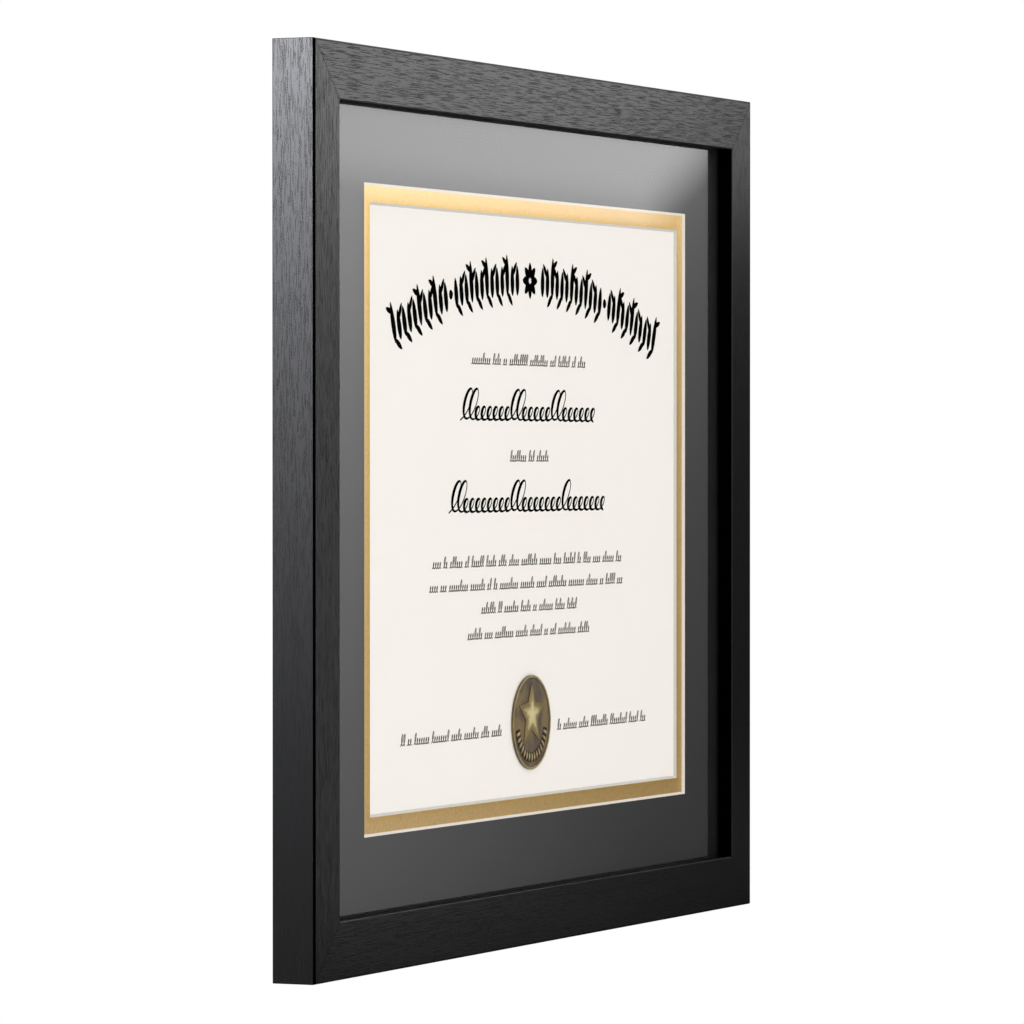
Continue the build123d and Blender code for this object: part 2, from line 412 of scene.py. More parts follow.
@dataclass(frozen=True)
class Stock:
    """A plain paper, board, rubber or ink surface with a fine mottle."""

    light: Colour
    dark: Colour
    roughness: float
    fleck: float
    relief: float
    shine: float = 0.5
    cloud_flecks: float = 60.0
    fine_share: float = 0.6
    cloud_share: float = 0.4
    roughness_swing: float = 0.05
    roughness_limits: Limits = (0.3, 0.7)

    def material(self, name: str) -> Material:
        """Makes the surface."""
        recipe = Recipe(name)
        fine = recipe.noise((self.fleck,) * 3, detail=4.0)
        cloud = recipe.noise((self.cloud_flecks * self.fleck,) * 3, detail=2.0)
        soft = recipe.calc("MULTIPLY", cloud, self.cloud_share)
        mottle = recipe.calc("ADD", recipe.calc("MULTIPLY", fine, self.fine_share), soft)
        least, most = self.roughness - self.roughness_swing, self.roughness + self.roughness_swing
        return recipe.surface(
            Base_Color=recipe.blend(recipe.ramp(mottle, *MOTTLE_LIMITS), self.dark, self.light),
            Roughness=recipe.ramp(fine, *self.roughness_limits, least, most),
            Specular_IOR_Level=self.shine,
            Normal=recipe.bump(fine, self.relief),
        )


@dataclass(frozen=True)
class PlatedSteel:
    """Zinc-plated or bright drawn steel with a faint spangle and handling marks."""

    colour: Colour
    dulled: Colour
    roughness: float
    spangle: float = 2.5 * MM
    spangle_share: float = 0.35
    scratch: Size = (6 * MM, 6 * MM, 0.12 * MM)
    scratch_depth: float = 0.01 * MM
    stain_cell: float = 9 * MM
    stain_limits: Limits = (0.4, 0.7)
    stain_share: float = 0.5
    worn_roughness: float = 0.2

    def material(self, name: str) -> Material:
        """Makes the metal."""
        recipe = Recipe(name)
        cells = {"Vector": recipe.stretch((self.spangle,) * 3), "Scale": 1.0}
        crystal = recipe.node("ShaderNodeTexVoronoi", cells).outputs["Color"]
        split = recipe.node("ShaderNodeSeparateColor", {0: crystal}).outputs[0]
        marks = recipe.noise(self.scratch, detail=3.0)
        cloud = recipe.noise((self.stain_cell,) * 3, detail=3.0)
        stain = recipe.ramp(cloud, *self.stain_limits, 0.0, self.stain_share)
        worn = recipe.calc("ADD", recipe.calc("MULTIPLY", split, self.spangle_share), stain)
        return recipe.surface(
            Base_Color=recipe.blend(worn, self.colour, self.dulled),
            Metallic=1.0,
            Roughness=recipe.calc("MULTIPLY_ADD", worn, self.worn_roughness, self.roughness),
            Normal=recipe.bump(marks, self.scratch_depth),
        )


@dataclass(frozen=True)
class AntiqueBrass:
    """Struck brass, rubbed bright on the relief and left brown in the hollows, with painted shadow along the
    foot of the relief.
    """

    bright: Colour = (0.9, 0.76, 0.4)
    rubbed: Colour = (0.3, 0.22, 0.088)
    patina: Colour = (0.15, 0.11, 0.088)
    # Near-black colour of the painted shadow at the foot of the relief
    painted_shadow: Colour = (0.018, 0.013, 0.011)
    metallic: float = 0.4
    hollow_roughness: float = 0.6
    relief_roughness: float = 0.36
    grime_cell: float = 1.1 * MM
    grime_depth: float = 0.03 * MM
    unevenness: float = 0.3 * MM
    worn_cell: float = 9 * MM
    worn_limits: Limits = (0.4, 0.62)
    worn_share: float = 0.75
    field_lap: float = 0.05 * MM
    # The height band above the field that gets the painted shadow
    painted_shadow_start: float = 0.03 * MM
    painted_shadow_ends: Limits = (0.2 * MM, 0.12 * MM)

    def material(self, back: float, field_height: float, top_height: float) -> Material:
        """Makes the brass.

        Args:
            back: The depth of the face that the seal is stuck on.
            field_height: How far the flat field stands off it.
            top_height: How far the highest relief stands off it.

        Returns:
            The material.
        """
        recipe = Recipe("antique_brass")
        _, y, _ = recipe.axes()
        grime = recipe.noise((self.grime_cell,) * 3, detail=4.0)
        worn = recipe.noise((self.worn_cell,) * 3, detail=1.0)
        uneven = recipe.calc("MULTIPLY", recipe.calc("SUBTRACT", grime, 0.5), self.unevenness)
        level = recipe.calc("ADD", y, uneven)
        low, high = back - field_height, back - top_height
        middle = (low + high) / 2
        first = recipe.ramp(level, low + self.field_lap, middle)
        second = recipe.ramp(level, middle, high)
        hollow = recipe.blend(
            recipe.ramp(worn, *self.worn_limits, 0.0, self.worn_share), self.patina, self.rubbed
        )
        colour = recipe.blend(second, recipe.blend(first, hollow, self.rubbed), self.bright)
        # Painted shadow: a near-black band just above the field, along the foot of the star, bars, ribbon and
        # rim wall
        above = recipe.ramp(y, low, low - self.painted_shadow_start)
        painted_shadow_end, painted_shadow_fade = (low - height for height in self.painted_shadow_ends)
        foot = recipe.calc("MULTIPLY", above, recipe.ramp(y, painted_shadow_end, painted_shadow_fade))
        return recipe.surface(
            Base_Color=recipe.blend(foot, colour, self.painted_shadow),
            Metallic=self.metallic,
            Roughness=recipe.ramp(first, 0.0, 1.0, self.hollow_roughness, self.relief_roughness),
            Normal=recipe.bump(grime, self.grime_depth),
        )


BLACK_MAT = MatBoard(
    face=(0.014, 0.014, 0.0143), core=(0.80, 0.75, 0.69), roughness=0.4, metallic=0.0, mottle=0.04, shine=0.2
)
GOLD_MAT = MatBoard(
    face=(0.86, 0.56, 0.17), core=(0.62, 0.605, 0.56), roughness=0.36, metallic=0.78, mottle=0.07
)
BLACK_INK = Stock((0.002,) * 3, (0.001,) * 3, 0.7, fleck=0.3 * MM, relief=0.004 * MM, shine=0.0)
OLIVE_INK = Stock((0.1, 0.096, 0.06), (0.075, 0.072, 0.044), 0.7, 0.3 * MM, relief=0.004 * MM, shine=0.05)
CREAM_STOCK = Stock(
    (0.945, 0.9, 0.852), (0.933, 0.887, 0.836), 0.62, fleck=0.5 * MM, relief=0.006 * MM, shine=0.15
)
HARDBOARD = Stock((0.27, 0.165, 0.085), (0.19, 0.11, 0.055), 0.6, fleck=0.7 * MM, relief=0.02 * MM)
FILLER_CARD = Stock((0.8, 0.76, 0.68), (0.74, 0.7, 0.61), 0.8, fleck=0.5 * MM, relief=0.01 * MM)
BUMPER_RUBBER = Stock((0.035, 0.035, 0.036), (0.02,) * 3, 0.7, fleck=0.25 * MM, relief=0.01 * MM)
ZINC_PLATE = PlatedSteel(colour=(0.68, 0.69, 0.7), dulled=(0.5, 0.51, 0.52), roughness=0.3)
BRIGHT_STEEL = PlatedSteel(colour=(0.62, 0.62, 0.62), dulled=(0.46, 0.46, 0.45), roughness=0.24)


@dataclass(frozen=True)
class Moulding:
    """The four mitred rails."""

    layout: Layout
    wood: StainedWood = StainedWood()
    first_seed: float = 3.7
    seed_step: float = 11.3

    def build(self) -> None:
        """Dresses each rail with grain along its own length."""
        for step, node in enumerate(("top_rail", "bottom_rail", "left_stile", "right_stile")):
            run = Run.ACROSS if node.endswith("rail") else Run.UPRIGHT
            seed = self.first_seed + self.seed_step * step
            dress(node, self.wood.material(f"black_wood_{node}", run, seed, self.layout))


@dataclass(frozen=True)
class LeafBand:
    """An arched band of upright leaves linked head to foot, with a rosette over the middle."""

    radius: float = 345.3 * MM
    drop: float = 267.3 * MM
    half_angle: float = math.radians(18.85)
    units: int = 25
    tall_units: frozenset[int] = frozenset({0, 5, 8, 15, 18, 22})
    dot_units: frozenset[int] = frozenset({11})
    dot: float = 3.2 * MM
    foot: float = 5.3 * MM
    leaf_length: float = 10.4 * MM
    tall_leaf_length: float = 14.4 * MM
    leaf_width: float = 3.1 * MM
    leaf_corners: int = 16
    leaf_fullness: float = 1.05
    leaf_taper: float = 0.15
    leaf_bluntness: float = 0.12
    bud_level: float = 5.4 * MM
    bud_tilt: float = 0.95
    bud_length: float = 4.8 * MM
    bud_width: float = 1.8 * MM
    link_tilt: float = 0.85
    link_length: float = 6.2 * MM
    link_width: float = 2.0 * MM
    rising_link_level: float = 1.6 * MM
    falling_link_level: float = -3.9 * MM
    rosette_reach: float = 6.6 * MM
    petals: int = 8
    petal_start: float = 0.9 * MM
    petal_length: float = 5.4 * MM
    petal_width: float = 2.9 * MM

    def draw(self) -> BMesh:
        """Draws the band about the sheet's middle."""
        drawn = bmesh.new()
        step = (self.half_angle - self.rosette_reach / self.radius) / self.units
        for side in (-1, 1):
            for unit in range(self.units):
                place = self.on_arc(side * (self.half_angle - unit * step))
                if unit in self.dot_units:
                    start = Matrix.Translation((-self.dot / 2, 0.0, 0.0))
                    self.add_leaf(drawn, place @ start, self.dot, self.dot)
                else:
                    self.add_upright(drawn, place, side, unit)
        for petal in range(self.petals):
            turn = Matrix.Rotation(2 * math.pi * petal / self.petals, 4, "Z")
            start = Matrix.Translation((self.petal_start, 0.0, 0.0))
            self.add_leaf(drawn, self.on_arc(0.0) @ turn @ start, self.petal_length, self.petal_width)
        return drawn

    def on_arc(self, angle: float) -> Matrix:
        """A place on the arc, with X along it and Y outwards."""
        centre = Matrix.Translation((0.0, -self.drop, 0.0))
        return centre @ Matrix.Rotation(-angle, 4, "Z") @ Matrix.Translation((0.0, self.radius, 0.0))

    def add_leaf(self, drawn: BMesh, place: Matrix, length: float, width: float) -> None:
        """Adds a flat leaf that starts at the place's origin and points along its X.

        Args:
            drawn: The drawing that the leaf is added to.
            place: Where the leaf goes.
            length: The leaf's length.
            width: Its greatest width.
        """
        circle = bmesh.ops.create_circle(drawn, cap_ends=True, segments=self.leaf_corners, radius=1.0)
        for vert in circle["verts"]:
            along = vert.co.x
            fullness = self.leaf_fullness - self.leaf_taper * along
            vert.co.x = (along + 1) / 2 * length
            vert.co.y *= width / 2 * fullness * (1 - along**2) ** self.leaf_bluntness
        bmesh.ops.transform(drawn, matrix=place, verts=circle["verts"])

    def add_upright(self, drawn: BMesh, place: Matrix, side: int, unit: int) -> None:
        """Adds one upright leaf, a bud on a tall one, and the small leaf that reaches to the next.

        Args:
            drawn: The drawing that it is added to.
            place: Where it stands on the arc.
            side: -1 on the left half and 1 on the right one.
            unit: Which leaf it is, counted from the end of the band.
        """
        tall = unit in self.tall_units
        upright = Matrix.Translation((0.0, -self.foot, 0.0)) @ Matrix.Rotation(math.pi / 2, 4, "Z")
        length = self.tall_leaf_length if tall else self.leaf_length
        self.add_leaf(drawn, place @ upright, length, self.leaf_width)
        if tall:
            lean = Matrix.Rotation(math.pi / 2 - side * self.bud_tilt, 4, "Z")
            bud = Matrix.Translation((0.0, self.bud_level, 0.0)) @ lean
            self.add_leaf(drawn, place @ bud, self.bud_length, self.bud_width)
        if unit + 1 == self.units or unit + 1 in self.dot_units:
            return
        rising = unit % 2 == 1
        tilt = self.link_tilt if rising else -self.link_tilt
        level = self.rising_link_level if rising else self.falling_link_level
        turn = Matrix.Rotation(tilt if side < 0 else math.pi - tilt, 4, "Z")
        link = Matrix.Translation((0.0, level, 0.0)) @ turn
        self.add_leaf(drawn, place @ link, self.link_length, self.link_width)


@dataclass(frozen=True)
class Pen:
    """A pen's line: thin on the way up, thick on the way down."""

    thin: float
    thick: float
    smoothness: int


@dataclass(frozen=True)
class Flourish:
    """A line of slanted pen loops, some of them tall."""

    start: float
    end: float
    foot: float
    tall_loops: frozenset[int]
    height: float = 4.9 * MM
    pitch: float = 5.0 * MM
    width: float = 0.55
    slant: float = 0.6
    tall: float = 2.3


@dataclass(frozen=True)
class FineRow:
    """Where a row of fine print runs: its two ends and the height of its middle line."""

    name: str
    start: float
    end: float
    level: float


FINE_ROWS = (
    FineRow("row_under_title", -49.5 * MM, 49.5 * MM, 49.7 * MM),
    FineRow("row_under_upper_flourish", -17.4 * MM, 17.4 * MM, 16.7 * MM),
    FineRow("row_1", -81.4 * MM, 81.4 * MM, -19.0 * MM),
    FineRow("row_2", -83.9 * MM, 83.9 * MM, -26.9 * MM),
    FineRow("row_3", -41.6 * MM, 41.6 * MM, -34.9 * MM),
    FineRow("row_4", -52.9 * MM, 52.9 * MM, -43.5 * MM),
    FineRow("row_left_of_seal", -106.6 * MM, -23.3 * MM, -77.0 * MM),
    FineRow("row_right_of_seal", 23.4 * MM, 104.8 * MM, -77.0 * MM),
)


@dataclass
class Print:
    """The ornament printed on the sheet, drawn in the sheet's own plane about its middle."""

    layout: Layout
    lift: float = 0.03 * MM
    broad: Pen = Pen(0.3 * MM, 1.05 * MM, 5)
    fine: Pen = Pen(0.2 * MM, 0.34 * MM, 2)
    upper: Flourish = Flourish(-58.6 * MM, 56.0 * MM, 29.6 * MM, frozenset({0, 1, 8, 9, 15, 16}))
    lower: Flourish = Flourish(-68.0 * MM, 65.0 * MM, -1.6 * MM, frozenset({0, 1, 10, 11, 19}))
    loop_steps: int = 8
    loop_swell: float = 0.4
    flatness: float = 0.05
    row_form: Flourish = Flourish(
        0.0, 0.0, 0.0, frozenset(), height=2.2 * MM, pitch=1.75 * MM, width=0.4, slant=0.3, tall=1.85
    )
    row_tall_chance: float = 0.28
    run_lengths: tuple[int, int] = (2, 9)
    draws: random.Random = field(default_factory=lambda: random.Random(ROW_SEED))

    def build(self) -> None:
        """Prints the arched leaf band, two looped flourishes and the fine rows."""
        ink, olive = BLACK_INK.material("black_ink"), OLIVE_INK.material("olive_ink")
        self.lay(LeafBand().draw(), "title_band", ink)
        for line, name in ((self.upper, "upper_flourish"), (self.lower, "lower_flourish")):
            drawn = bmesh.new()
            self.add_loops(drawn, line, self.broad)
            self.lay(drawn, name, ink)
        for line in FINE_ROWS:
            self.lay(self.row(line), line.name, olive)

    def lay(self, drawn: BMesh, name: str, ink: Material) -> None:
        """Lays a flat drawing on the sheet.

        Args:
            drawn: The drawing, with X to the right, Y up and Z towards the viewer.
            name: The piece's name.
            ink: Its finish.
        """
        place = Vector((0.0, self.layout.sheet_front - self.lift, self.layout.middle_z))
        drawn.transform(Matrix.Translation(place) @ Matrix.Rotation(math.pi / 2, 4, "X"))
        piece = put_in_scene(drawn, name, ink)
        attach(piece, ROOT_BODY)
        LOG.info("printed %s", name)

    def add_stroke(self, drawn: BMesh, points: list[Vector], halves: list[float], smoothness: int) -> None:
        """Adds a pen stroke along a smooth line.

        Args:
            drawn: The drawing that it is added to.
            points: The line's control points, in the drawing's plane.
            halves: The stroke's half width at each of them.
            smoothness: How many steps there are between two points.
        """
        curve = bpy.data.curves.new("stroke", "CURVE")
        curve.dimensions = "3D"
        curve.bevel_depth = 1.0
        curve.bevel_resolution = 0
        curve.resolution_u = smoothness
        curve.use_fill_caps = True
        spline = curve.splines.new("NURBS")
        spline.points.add(len(points) - 1)
        for point, where, half in zip(spline.points, points, halves):
            point.co = (*where, 1.0)
            point.radius = half
        spline.order_u = 4
        spline.use_endpoint_u = True
        holder = bpy.data.objects.new("stroke", curve)
        mesh = bpy.data.meshes.new_from_object(holder)
        mesh.transform(Matrix.Diagonal((1.0, 1.0, self.flatness, 1.0)))
        drawn.from_mesh(mesh)
        bpy.data.objects.remove(holder)
        bpy.data.curves.remove(curve)
        bpy.data.meshes.remove(mesh)

    def add_loops(self, drawn: BMesh, line: Flourish, pen: Pen) -> None:
        """Adds a line of slanted loops drawn without lifting the pen.

        Args:
            drawn: The drawing that it is added to.
            line: Where the line runs and how its loops stand.
            pen: What it is drawn with.
        """
        points: list[Vector] = []
        widths: list[float] = []
        steps = self.loop_steps
        count = max(1, round((line.end - line.start) / line.pitch))
        pitch = (line.end - line.start) / count
        for step in range(count * steps + 1):
            phase = 2 * math.pi * step / steps
            grown = line.tall if min(step // steps, count - 1) in line.tall_loops else 1.0
            swell = 1 - self.loop_swell + self.loop_swell * grown
            rise = grown * line.height * (1 - math.cos(phase)) / 2
            along = pitch * step / steps + line.width * pitch * math.sin(phase) * swell
            points.append(Vector((line.start + along + line.slant * rise, line.foot + rise, 0.0)))
            widths.append(pen.thin + (pen.thick - pen.thin) * max(0.0, -math.sin(phase)))
        self.add_stroke(drawn, points, widths, pen.smoothness)

    def row(self, line: FineRow) -> BMesh:
        """A row of small loops broken into short runs, the weight of a line of fine print."""
        drawn = bmesh.new()
        form = self.row_form
        x = line.start
        while x < line.end - form.pitch:
            count = min(self.draws.randint(*self.run_lengths), int((line.end - x) / form.pitch))
            tall = frozenset(loop for loop in range(count) if self.draws.random() < self.row_tall_chance)
            end, foot = x + count * form.pitch, line.level - form.height / 2
            self.add_loops(drawn, replace(form, start=x, end=end, foot=foot, tall_loops=tall), self.fine)
            x += (count + 1.0) * form.pitch
        return drawn


@dataclass(frozen=True)
class Seal:
    """The struck brass seal: thin rim, dished field, a ribbon with short bars at its foot, and a star.

    Each outline's corners, and each value that ends in share or shares, are shares of the seal's
    radius where they lie across it, and of its thickness where they stand along its axis.
    """

    steps: int = 96
    disc_shares: Outline = (
        (0.0, 0.0), (0.985, 0.0), (1.0, 0.12), (1.0, 0.6), (0.99, 0.72), (0.972, 0.76), (0.945, 0.7),
        (0.935, 0.42), (0.92, 0.36), (0.9, 0.38), (0.85, 0.42), (0.5, 0.36), (0.0, 0.4),
    )
    merge_distance: float = 0.001 * MM
    ribbon_shares: Outline = ((0.625, 0.3), (0.635, 0.5), (0.845, 0.5), (0.855, 0.3))
    ribbon_end_pitches: float = 0.7
    bars: int = 15
    bar_start: float = math.radians(198)
    bar_sweep: float = math.radians(144)
    bar_middle_share: float = 0.74
    bar_level_share: float = 0.42
    bar_shares: Size = (0.12, 0.046, 0.4)
    star_points: int = 5
    star_reach_share: float = 0.68
    star_waist_share: float = 0.33
    star_foot_share: float = 0.3
    star_wall_share: float = 0.62
    star_lift_share: float = 0.16
    brass_field_share: float = 0.44
    brass_top_share: float = 0.92

    def build(self) -> None:
        """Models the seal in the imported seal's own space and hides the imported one."""
        low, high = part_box("certificate_seal")
        radius = (high.x - low.x) / 2
        depth = high.y - low.y
        shape = self.disc(radius, depth)
        self.add_ribbon(shape, radius, depth)
        self.add_bars(shape, radius, depth)
        self.add_star(shape, radius, depth)
        place = Vector(((high.x + low.x) / 2, high.y, (high.z + low.z) / 2))
        shape.transform(Matrix.Translation(place) @ Matrix.Rotation(math.pi / 2, 4, "X"))
        field_height, top_height = self.brass_field_share * depth, self.brass_top_share * depth
        brass = AntiqueBrass().material(high.y, field_height, top_height)
        piece = put_in_scene(shape, "struck_seal", brass)
        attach(piece, ROOT_BODY)
        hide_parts("certificate_seal")
        LOG.info("struck the seal")

    def spin(self, shape: BMesh, points: list[Vector], angle: float, steps: int, whole: bool) -> None:
        """Turns a chain of points about the seal's axis into a surface.

        Args:
            shape: The mesh that it is added to.
            points: The chain, in order.
            angle: How far it is turned.
            steps: How many faces there are round that angle.
            whole: Whether the surface closes on itself.
        """
        verts = [shape.verts.new(point) for point in points]
        edges = [shape.edges.new(pair) for pair in zip(verts, verts[1:])]
        bmesh.ops.spin(
            shape,
            geom=[*verts, *edges],
            cent=(0.0, 0.0, 0.0),
            axis=(0.0, 0.0, 1.0),
            angle=angle,
            steps=steps,
            use_merge=whole,
        )

    def disc(self, radius: float, depth: float) -> BMesh:
        """The turned body: edge, thin rounded rim, fine groove and dished field."""
        shape = bmesh.new()
        points = [Vector((share * radius, 0.0, rise * depth)) for share, rise in self.disc_shares]
        self.spin(shape, points, 2 * math.pi, self.steps, whole=True)
        bmesh.ops.remove_doubles(shape, verts=shape.verts, dist=self.merge_distance)
        bmesh.ops.recalc_face_normals(shape, faces=shape.faces)
        return shape

    def add_ribbon(self, shape: BMesh, radius: float, depth: float) -> None:
        """Adds the low flat ribbon that the bars stand on; its top lies just above the field, in the band of
        painted shadow, so it comes out dark.
        """
        margin = self.bar_sweep / (self.bars - 1) * self.ribbon_end_pitches
        start = Matrix.Rotation(self.bar_start - margin, 3, "Z")
        points = [start @ Vector((share * radius, 0.0, rise * depth)) for share, rise in self.ribbon_shares]
        self.spin(shape, points, self.bar_sweep + 2 * margin, self.steps // 2, whole=False)

    def add_bars(self, shape: BMesh, radius: float, depth: float) -> None:
        """Adds the arc of short rounded bars along the foot of the field."""
        out = Matrix.Translation((self.bar_middle_share * radius, 0.0, self.bar_level_share * depth))
        length, width, height = self.bar_shares
        form = Matrix.Diagonal((length * radius, width * radius, height * depth, 1.0))
        for step in range(self.bars):
            turn = Matrix.Rotation(self.bar_start + self.bar_sweep * step / (self.bars - 1), 4, "Z")
            bmesh.ops.create_icosphere(shape, subdivisions=2, radius=1.0, matrix=turn @ out @ form)

    def add_star(self, shape: BMesh, radius: float, depth: float) -> None:
        """Adds the faceted star, set a little above the middle."""
        reach, waist = self.star_reach_share * radius, self.star_waist_share * radius
        levels = (self.star_foot_share * depth, self.star_wall_share * depth)
        half = math.pi / self.star_points
        outline = (
            (0.0, 0.0),
            (waist * math.cos(half), -waist * math.sin(half)),
            (reach, 0.0),
            (waist * math.cos(half), waist * math.sin(half)),
        )
        lift = Matrix.Translation((0.0, self.star_lift_share * radius, 0.0))
        for step in range(self.star_points):
            foot = [shape.verts.new((*corner, level)) for level in levels for corner in outline]
            top = shape.verts.new((0.0, 0.0, depth))
            bmesh.ops.convex_hull(shape, input=[*foot, top])
            turn = Matrix.Rotation(math.pi / 2 + 2 * half * step, 4, "Z")
            bmesh.ops.transform(shape, matrix=lift @ turn, verts=[*foot, top])


@dataclass(frozen=True)
class Glazing:
    """The glass, and the mats and the sheet behind it."""

    layout: Layout

    def build(self) -> None:
        """Dresses the layers, prints on the sheet and sets its seal."""
        dress("glass", ClearPane().material())
        dress("outer_mat", BLACK_MAT.material("black_mat_board", self.layout.outer_mat_front))
        dress("inner_mat", GOLD_MAT.material("gold_mat_board", self.layout.inner_mat_front))
        dress("certificate", CREAM_STOCK.material("cream_stock"))
        Print(self.layout).build()
        Seal().build()


class Rear:
    """The back: board, buttons, screws, hangers, nails and wall pads."""

    def build(self) -> None:
        """Dresses everything behind the sheet."""
        zinc = ZINC_PLATE.material("zinc_plate")
        bright = BRIGHT_STEEL.material("bright_steel")
        dress("back_board", HARDBOARD.material("brown_hardboard"))
        dress("filler_board", FILLER_CARD.material("grey_card"))
        for side in ("left", "right"):
            dress(f"wall_bumper_{side}", BUMPER_RUBBER.material(f"black_rubber_{side}"))
        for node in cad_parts:
            if node.startswith("turn_button") or node.endswith("hanger"):
                dress(node, zinc)
        dress("hanger_nails", bright)
        dress("corner_v_nails", bright)


def hang_card(
    name: str, corners: tuple[Vector, ...], recipe: Recipe, glow: Socket, tint: Colour = WHITE
) -> None:
    """Adds a glowing card that only gloss sees.

    Args:
        name: The card's name.
        corners: Its four corners, in order.
        recipe: The material in progress.
        glow: How brightly each point glows.
        tint: The glow's colour.
    """
    recipe.close(recipe.node("ShaderNodeEmission", {"Color": tint, "Strength": glow}))
    shape = bmesh.new()
    shape.faces.new([shape.verts.new(corner) for corner in corners])
    card = put_in_scene(shape, name, recipe.material)
    card.visible_camera = False
    card.visible_diffuse = False
    card.visible_transmission = False
    card.visible_shadow = False


@dataclass(frozen=True)
class FrontCard:
    """The card that the glass and the front faces mirror, bright round the sheet's top and left.

    It stands parallel to the frame, so what a point of the frame mirrors is found by scaling
    the frame's plane about the eye. The glow is set by that place on the frame, and so is every
    length here but the reach, which is how far the card stands in front.
    """

    layout: Layout
    eye: Size
    reach: float = 200 * MM
    margin_below: float = 150 * MM
    margin_above: float = 60 * MM
    margin_beside: float = 200 * MM
    fade_in: float = 110 * MM
    window_lap: float = 1 * MM
    window_fade: float = 5 * MM
    crest: float = 2.4
    crest_drop: float = 22 * MM
    crest_rise: float = 42 * MM
    crest_tilt: float = 0.45
    crest_tilt_inset: float = 30 * MM
    crest_end_inset: float = 30 * MM
    crest_end_reach: float = 20 * MM
    crest_end_share: float = 0.3
    body: float = 2.3
    body_fall: float = 165 * MM
    body_floor: float = 0.05
    body_lean_reach: float = 60 * MM
    body_lean_inset: float = 30 * MM
    body_lean_share: float = 0.26
    body_end_inset: float = 20 * MM
    body_foot: float = 5 * MM

    def build(self) -> None:
        """Hangs the card."""
        layout, (eye_x, eye_y, eye_z) = self.layout, self.eye
        scale = 1 + self.reach / (layout.front - eye_y)
        left = -layout.half_width - self.margin_beside
        right = layout.half_width + self.margin_beside
        low = layout.middle_z - layout.half_height - self.margin_below
        high = layout.middle_z + layout.half_height + self.margin_above

        def on_card(x: float, z: float) -> Vector:
            """The card's point that a place on the frame mirrors."""
            across, height = eye_x + scale * (x - eye_x), eye_z + scale * (z - eye_z)
            return Vector((across, layout.front - self.reach, height))

        corners = (on_card(left, low), on_card(right, low), on_card(right, high), on_card(left, high))
        recipe = Recipe("front_card")
        x, _, z = recipe.axes()
        seen_x = recipe.calc("MULTIPLY_ADD", x, 1 / scale, eye_x * (1 - 1 / scale))
        seen_z = recipe.calc("MULTIPLY_ADD", z, 1 / scale, eye_z * (1 - 1 / scale))
        level = recipe.calc("SUBTRACT", seen_z, layout.middle_z)
        begin = recipe.ramp(seen_x, left, left + self.fade_in)
        shown = recipe.calc("MULTIPLY", self.outside_window(recipe, seen_x, level), begin)
        crest = self.crest_glow(recipe, seen_x, level)
        body = self.body_glow(recipe, seen_x, level)
        glow = recipe.calc("MULTIPLY", shown, recipe.calc("MAXIMUM", crest, body))
        hang_card("front_card", corners, recipe, glow)

    def outside_window(self, recipe: Recipe, seen_x: Socket, level: Socket) -> Socket:
        """0 over the sheet, so that the glass stays clear there, and 1 outside its window."""
        rim_x = self.layout.window_half_width - self.window_lap
        rim_z = self.layout.window_half_height - self.window_lap
        beside = recipe.ramp(recipe.calc("ABSOLUTE", seen_x), rim_x, rim_x + self.window_fade)
        above = recipe.ramp(recipe.calc("ABSOLUTE", level), rim_z, rim_z + self.window_fade)
        return recipe.calc("MAXIMUM", beside, above)

    def crest_glow(self, recipe: Recipe, seen_x: Socket, level: Socket) -> Socket:
        """The bright part over the top of the frame, whose lower edge climbs near the right end."""
        layout = self.layout
        bend = layout.window_half_width - self.crest_tilt_inset
        past = recipe.calc("MAXIMUM", recipe.calc("SUBTRACT", seen_x, bend), 0.0)
        tilt = recipe.calc("MULTIPLY", past, self.crest_tilt)
        start = layout.window_half_height - self.crest_drop
        tilted = recipe.calc("SUBTRACT", level, tilt)
        crest = recipe.ramp(tilted, start, start + self.crest_rise, 0.0, self.crest)
        dim_from = layout.half_width - self.crest_end_inset
        dim_to = layout.half_width + self.crest_end_reach
        dim = recipe.ramp(seen_x, dim_from, dim_to, 1.0, self.crest_end_share)
        return recipe.calc("MULTIPLY", crest, dim)

    def body_glow(self, recipe: Recipe, seen_x: Socket, level: Socket) -> Socket:
        """The glow below the crest, which falls off downwards and to the right."""
        layout = self.layout
        drop = recipe.calc("SUBTRACT", level, layout.half_height)
        decay = recipe.calc("EXPONENT", recipe.calc("DIVIDE", drop, self.body_fall))
        fall = recipe.calc("ADD", decay, self.body_floor)
        lean_from = -layout.half_width - self.body_lean_reach
        lean_to = layout.half_width - self.body_lean_inset
        lean = recipe.ramp(seen_x, lean_from, lean_to, self.body, self.body_lean_share * self.body)
        end = recipe.ramp(seen_x, layout.half_width - self.body_end_inset, layout.half_width, 1.0, 0.0)
        foot = recipe.ramp(level, self.body_foot - layout.half_height, layout.face_width - layout.half_height)
        lean = recipe.calc("MULTIPLY", lean, end)
        return recipe.calc("MULTIPLY", recipe.calc("MULTIPLY", fall, foot), lean)


@dataclass(frozen=True)
class SideCard:
    """The card that the left outer side mirrors, much brighter towards its top."""

    x: float = -360 * MM
    near: float = 10 * MM
    far: float = 160 * MM
    low: float = -420 * MM
    high: float = 120 * MM
    glow: float = 15.8
    tint: Colour = (0.93, 0.94, 1.0)
    fall: float = 90 * MM

    def build(self) -> None:
        """Hangs the card."""
        near, far, low, high = self.near, self.far, self.low, self.high
        places = ((near, low), (far, low), (far, high), (near, high))
        corners = tuple(Vector((self.x, depth, height)) for depth, height in places)
        recipe = Recipe("side_card")
        _, _, z = recipe.axes()
        rise = recipe.calc("EXPONENT", recipe.calc("DIVIDE", z, self.fall))
        hang_card("side_card", corners, recipe, recipe.calc("MULTIPLY", rise, self.glow), self.tint)


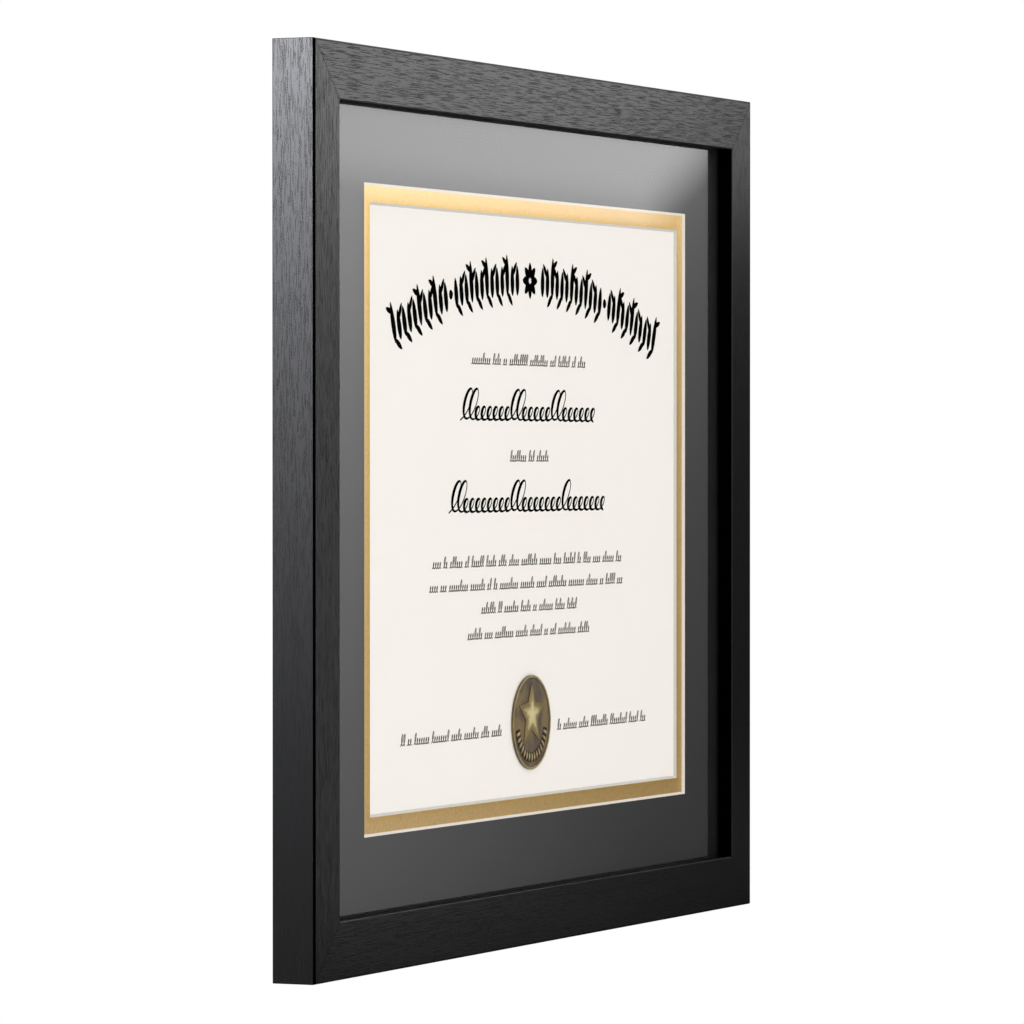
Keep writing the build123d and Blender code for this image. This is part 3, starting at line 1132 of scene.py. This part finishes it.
@dataclass(frozen=True)
class Studio:
    """Camera, world, floor, lamp and cards."""

    layout: Layout
    focal_pixels: float = 5958.0
    picture_pixels: float = 1024.0
    sensor: float = 36.0
    clip_end: float = 100.0
    eye: Size = (-1885.2 * MM, -832.7 * MM, -125.75 * MM)
    yaw: float = math.radians(66.22)
    pitch: float = math.radians(-0.526)
    hang_height: float = 1450 * MM
    floor_half: float = 1500 * MM
    floor_cells: int = 8
    floor_colour: Colour = (0.93, 0.93, 0.93)
    floor_roughness: float = 0.8
    fill: float = 1.18
    gloss_in_front: float = 0.01
    gloss_behind: float = 0.85
    behind_limits: Limits = (0.5, 0.95)
    gloss_above: float = 0.8
    above_limits: Limits = (0.15, 0.45)
    key_size: float = 1.2
    key_energy: float = 3.0
    key_place: Size = (-1.0, -1.6, 1.2)

    def build(self) -> None:
        """Sets up everything around the frame."""
        self.camera()
        self.world()
        self.floor()
        self.key_lamp()
        FrontCard(self.layout, self.eye).build()
        SideCard().build()

    def camera(self) -> None:
        """Places the camera at the photograph's viewing angle."""
        lens = bpy.data.cameras.new("camera")
        lens.sensor_width = self.sensor
        lens.lens = self.focal_pixels * self.sensor / self.picture_pixels
        lens.clip_end = self.clip_end
        camera = bpy.data.objects.new("camera", lens)
        level = math.cos(self.pitch)
        look = Vector((math.sin(self.yaw) * level, math.cos(self.yaw) * level, math.sin(self.pitch)))
        camera.location = self.eye
        camera.rotation_euler = look.to_track_quat("-Z", "Y").to_euler()
        bpy.context.scene.collection.objects.link(camera)
        bpy.context.scene.camera = camera
        bpy.context.scene.view_settings.view_transform = "Standard"

    def world(self) -> None:
        """A white surround for the camera, a soft fill, and for gloss a glow behind and above the frame."""
        world = bpy.data.worlds.new("studio")
        bpy.context.scene.world = world
        world.use_nodes = True
        graph = Graph(world.node_tree, "ShaderNodeOutputWorld")
        rays = graph.node("ShaderNodeLightPath", {}).outputs
        seen = graph.calc("MAXIMUM", rays["Is Camera Ray"], rays["Is Transmission Ray"])
        direction = graph.node("ShaderNodeTexCoord", {}).outputs["Generated"]
        _, depth, height = graph.node("ShaderNodeSeparateXYZ", {0: direction}).outputs
        behind = graph.ramp(depth, *self.behind_limits, self.gloss_in_front, self.gloss_behind)
        above = graph.ramp(height, *self.above_limits, 0.0, self.gloss_above)
        gloss = graph.calc("MAXIMUM", behind, above)
        light = graph.mix(rays["Is Glossy Ray"], self.fill, gloss)
        strength = graph.mix(seen, light, 1.0)
        graph.close(graph.node("ShaderNodeBackground", {"Color": WHITE, "Strength": strength}))

    def floor(self) -> None:
        """A plain pale floor, as far below as under a hung frame."""
        shape = bmesh.new()
        cells = self.floor_cells
        bmesh.ops.create_grid(shape, x_segments=cells, y_segments=cells, size=self.floor_half)
        shape.transform(Matrix.Translation((0.0, 0.0, self.layout.middle_z - self.hang_height)))
        pale = Recipe("pale_floor").surface(Base_Color=self.floor_colour, Roughness=self.floor_roughness)
        put_in_scene(shape, "floor", pale)

    def key_lamp(self) -> None:
        """One broad soft lamp high in front, to the left."""
        light = bpy.data.lights.new("soft_key", "AREA")
        light.shape = "SQUARE"
        light.size = self.key_size
        light.energy = self.key_energy
        lamp = bpy.data.objects.new("soft_key", light)
        lamp.location = self.key_place
        aim = Vector((0.0, 0.0, self.layout.middle_z)) - lamp.location
        lamp.rotation_euler = aim.to_track_quat("-Z", "Y").to_euler()
        bpy.context.scene.collection.objects.link(lamp)


def main() -> None:
    """Builds the frame's looks and its studio."""
    logging.basicConfig(level=logging.INFO, format="%(message)s")
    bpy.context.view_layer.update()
    layout = Layout.read()
    Moulding(layout).build()
    Glazing(layout).build()
    Rear().build()
    Studio(layout).build()


if __name__ == "__main__":
    main()
